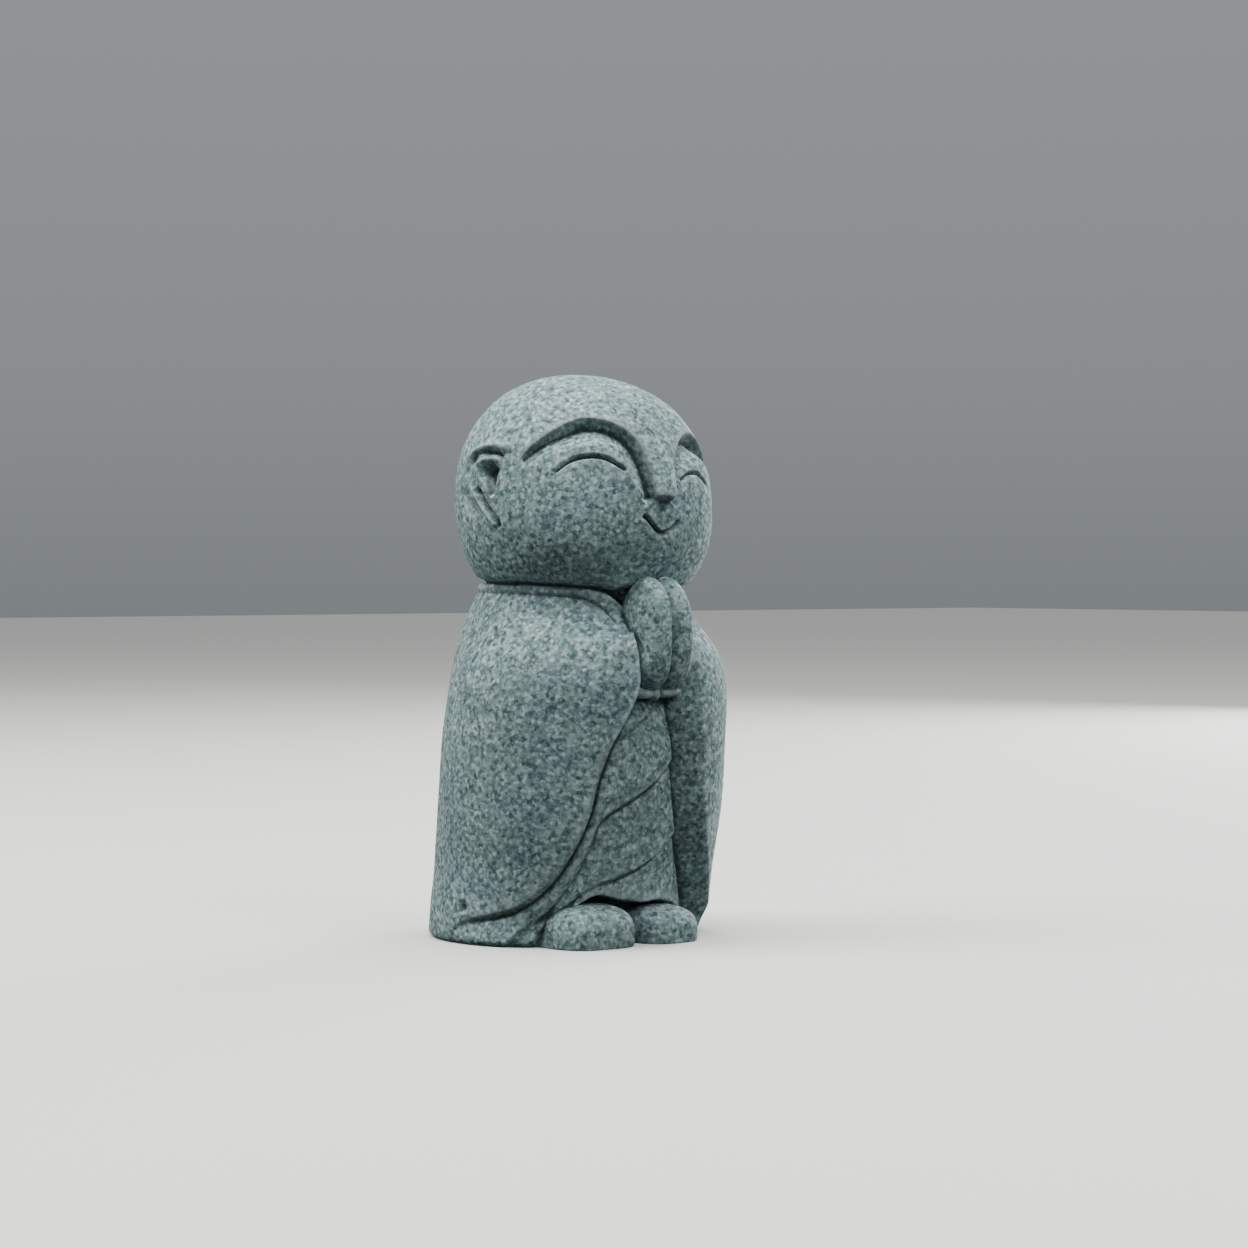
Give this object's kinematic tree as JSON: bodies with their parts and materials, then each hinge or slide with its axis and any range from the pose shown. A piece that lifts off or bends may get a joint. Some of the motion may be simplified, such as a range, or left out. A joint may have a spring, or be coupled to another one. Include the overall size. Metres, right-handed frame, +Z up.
{
  "type": "monk statue",
  "caption": "Small round-headed monk standing with palms together in a long cape, smiling with closed eyes, cast in one piece of grey-green sandstone-like material.",
  "frame": {"origin": "on the ground under the middle of the head, on the flat underside", "axes": "+Z up, the figure faces -Y, its right hand side is towards -X"},
  "size_m": [0.0466, 0.0482, 0.09],
  "materials": {
    "stone": "matte, coarse grey-green sandstone grain"
  },
  "bodies": {
    "root": {"monk_statue": "stone"}
  },
  "joints": []
}
